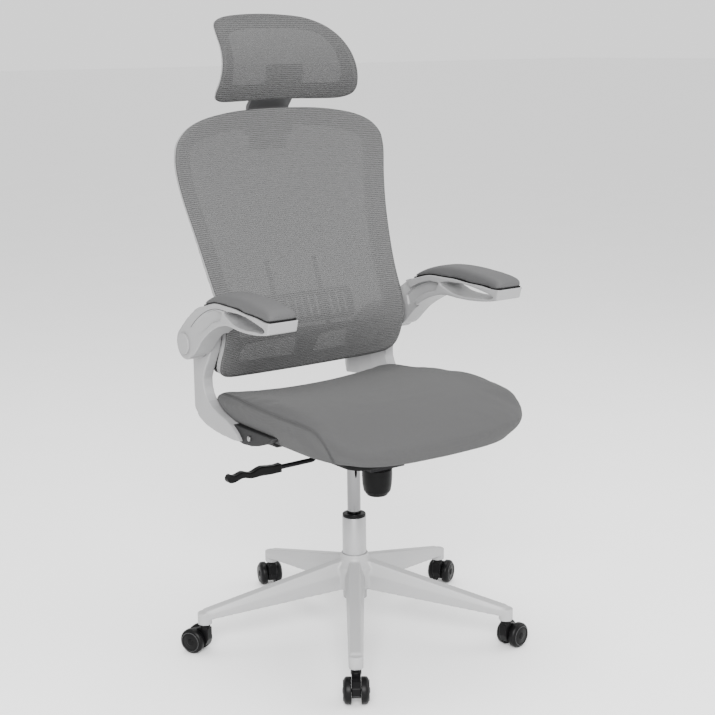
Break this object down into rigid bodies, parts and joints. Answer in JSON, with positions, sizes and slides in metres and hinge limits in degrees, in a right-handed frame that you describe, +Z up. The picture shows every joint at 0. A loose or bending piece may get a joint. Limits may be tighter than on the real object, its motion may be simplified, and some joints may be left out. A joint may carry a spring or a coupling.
{
  "type": "office chair",
  "caption": "High-back swivel chair with ribbed mesh back and headrest, padded seat, flip-up arms, gas lift and five-arm caster base.",
  "frame": {"origin": "on the floor, on the axis of the column", "axes": "+Z up along the column, the sitter faces -Y, +X is the sitter's left"},
  "size_m": [0.7073, 0.698, 1.281],
  "materials": {
    "base_white": "satin moulded nylon",
    "frame_white": "smooth moulded plastic",
    "black_plastic": "fine grain moulded plastic",
    "grey_plastic": "fine grain moulded plastic",
    "wheel_black": "moulded nylon, soft tread",
    "silver_tube": "silver lacquer",
    "chrome": "polished",
    "bright_steel": "zinc plated",
    "black_steel": "black powder coat",
    "grey_steel": "dark grey powder coat",
    "seat_fabric": "close woven grey cloth",
    "mesh_fabric": "ribbed elastic mesh",
    "pad_fabric": "smooth grey cover"
  },
  "bodies": {
    "base": {"star_base": "base_white", "column_tube": "silver_tube", "column_bushing": "black_plastic"},
    "lift_rod": {"piston_rod": "bright_steel", "thrust_bearing": "bright_steel"},
    "lift": {"gas_cylinder": "chrome", "tilt_housing": "black_steel", "spring_barrel": "black_steel", "knob_spindle": "bright_steel"},
    "tension_knob": {"tension_knob": "black_plastic"},
    "lever_saddle": {"lever_saddle": "black_steel"},
    "lever": {"lever_rod": "black_steel", "lever_grip": "black_plastic"},
    "seat": {"tilt_plate": "black_steel", "tilt_pin": "bright_steel", "plate_bolts": "bright_steel", "seat_pan": "black_plastic", "seat_cushion": "seat_fabric", "side_bracket_left": "frame_white", "side_bracket_right": "frame_white", "seat_flange_left": "grey_steel", "seat_flange_right": "grey_steel", "bracket_screws": "bright_steel", "arm_pin_left": "bright_steel", "arm_pin_right": "bright_steel", "back_frame": "frame_white", "mesh_carrier": "black_plastic", "back_mesh": "mesh_fabric", "lumbar_rails": "black_plastic", "headrest_guide": "black_plastic"},
    "armrest_left": {"armrest_left": "frame_white", "arm_pad_left": "pad_fabric", "pivot_cap_left": "frame_white"},
    "armrest_right": {"armrest_right": "frame_white", "arm_pad_right": "pad_fabric", "pivot_cap_right": "frame_white"},
    "lumbar": {"lumbar_pad": "black_plastic"},
    "headrest_post": {"headrest_post": "grey_plastic"},
    "headrest": {"headrest_frame": "frame_white", "headrest_mesh": "mesh_fabric", "headrest_pin": "bright_steel"},
    "caster_1": {"caster_fork_1": "black_plastic"},
    "wheels_1": {"caster_wheels_1": "wheel_black", "caster_axle_1": "bright_steel"},
    "caster_2": {"caster_fork_2": "black_plastic"},
    "wheels_2": {"caster_wheels_2": "wheel_black", "caster_axle_2": "bright_steel"},
    "caster_3": {"caster_fork_3": "black_plastic"},
    "wheels_3": {"caster_wheels_3": "wheel_black", "caster_axle_3": "bright_steel"},
    "caster_4": {"caster_fork_4": "black_plastic"},
    "wheels_4": {"caster_wheels_4": "wheel_black", "caster_axle_4": "bright_steel"},
    "caster_5": {"caster_fork_5": "black_plastic"},
    "wheels_5": {"caster_wheels_5": "wheel_black", "caster_axle_5": "bright_steel"}
  },
  "joints": [
    {"name": "seat_swivel", "type": "hinge", "parent": "base", "child": "lift_rod", "pos_m": [0, 0, 0.085], "axis": [0, 0, 1], "continuous": true},
    {"name": "seat_lift", "type": "slide", "parent": "lift_rod", "child": "lift", "axis": [0, 0, 1], "range_m": [-0.1, 0], "stiffness_N_per_m": 500, "springref_m": 0.6},
    {"name": "tension_turn", "type": "hinge", "parent": "lift", "child": "tension_knob", "pos_m": [0, -0.081, 0.35], "axis": [0, 0, 1], "continuous": true},
    {"name": "tilt_lock", "type": "slide", "parent": "lift", "child": "lever_saddle", "axis": [-1, 0, 0], "range_m": [0, 0.01]},
    {"name": "lift_lever", "type": "hinge", "parent": "lever_saddle", "child": "lever", "pos_m": [-0.018, 0.065, 0.398], "axis": [0, 1, 0], "range_deg": [0, 6], "stiffness_Nm_per_rad": 0.8, "springref_deg": -28.65},
    {"name": "seat_tilt", "type": "hinge", "parent": "lift", "child": "seat", "pos_m": [0, -0.04, 0.42], "axis": [-1, 0, 0], "range_deg": [0, 15], "stiffness_Nm_per_rad": 60, "springref_deg": -28.65},
    {"name": "arm_flip_left", "type": "hinge", "parent": "seat", "child": "armrest_left", "pos_m": [0.2675, 0.185, 0.63], "axis": [-1, 0, 0], "range_deg": [0, 50]},
    {"name": "arm_flip_right", "type": "hinge", "parent": "seat", "child": "armrest_right", "pos_m": [-0.2675, 0.185, 0.63], "axis": [-1, 0, 0], "range_deg": [0, 50]},
    {"name": "lumbar_slide", "type": "slide", "parent": "seat", "child": "lumbar", "axis": [0, 0.3584, 0.9336], "range_m": [0, 0.04]},
    {"name": "headrest_slide", "type": "slide", "parent": "seat", "child": "headrest_post", "axis": [0, 0, 1], "range_m": [0, 0.05]},
    {"name": "headrest_tilt", "type": "hinge", "parent": "headrest_post", "child": "headrest", "pos_m": [0, 0.262, 1.13], "axis": [1, 0, 0], "range_deg": [-20, 8]},
    {"name": "caster_swivel_1", "type": "hinge", "parent": "base", "child": "caster_1", "pos_m": [0, 0.3236, 0.07], "axis": [0, 0, 1], "continuous": true},
    {"name": "wheel_roll_1", "type": "hinge", "parent": "caster_1", "child": "wheels_1", "pos_m": [0.00716, 0.3444, 0.026], "axis": [-0.9455, 0.3256, 0], "continuous": true},
    {"name": "caster_swivel_2", "type": "hinge", "parent": "base", "child": "caster_2", "pos_m": [-0.30776, 0.1, 0.07], "axis": [0, 0, 1], "continuous": true},
    {"name": "wheel_roll_2", "type": "hinge", "parent": "caster_2", "child": "wheels_2", "pos_m": [-0.31775, 0.1196, 0.026], "axis": [-0.891, -0.454, 0], "continuous": true},
    {"name": "caster_swivel_3", "type": "hinge", "parent": "base", "child": "caster_3", "pos_m": [-0.19021, -0.2618, 0.07], "axis": [0, 0, 1], "continuous": true},
    {"name": "wheel_roll_3", "type": "hinge", "parent": "caster_3", "child": "wheels_3", "pos_m": [-0.20314, -0.2796, 0.026], "axis": [0.809, -0.5878, 0], "continuous": true},
    {"name": "caster_swivel_4", "type": "hinge", "parent": "base", "child": "caster_4", "pos_m": [0.19021, -0.2618, 0.07], "axis": [0, 0, 1], "continuous": true},
    {"name": "wheel_roll_4", "type": "hinge", "parent": "caster_4", "child": "wheels_4", "pos_m": [0.21194, -0.25836, 0.026], "axis": [-0.1564, 0.9877, 0], "continuous": true},
    {"name": "caster_swivel_5", "type": "hinge", "parent": "base", "child": "caster_5", "pos_m": [0.30776, 0.1, 0.07], "axis": [0, 0, 1], "continuous": true},
    {"name": "wheel_roll_5", "type": "hinge", "parent": "caster_5", "child": "wheels_5", "pos_m": [0.327, 0.11066, 0.026], "axis": [-0.4848, 0.8746, 0], "continuous": true}
  ]
}
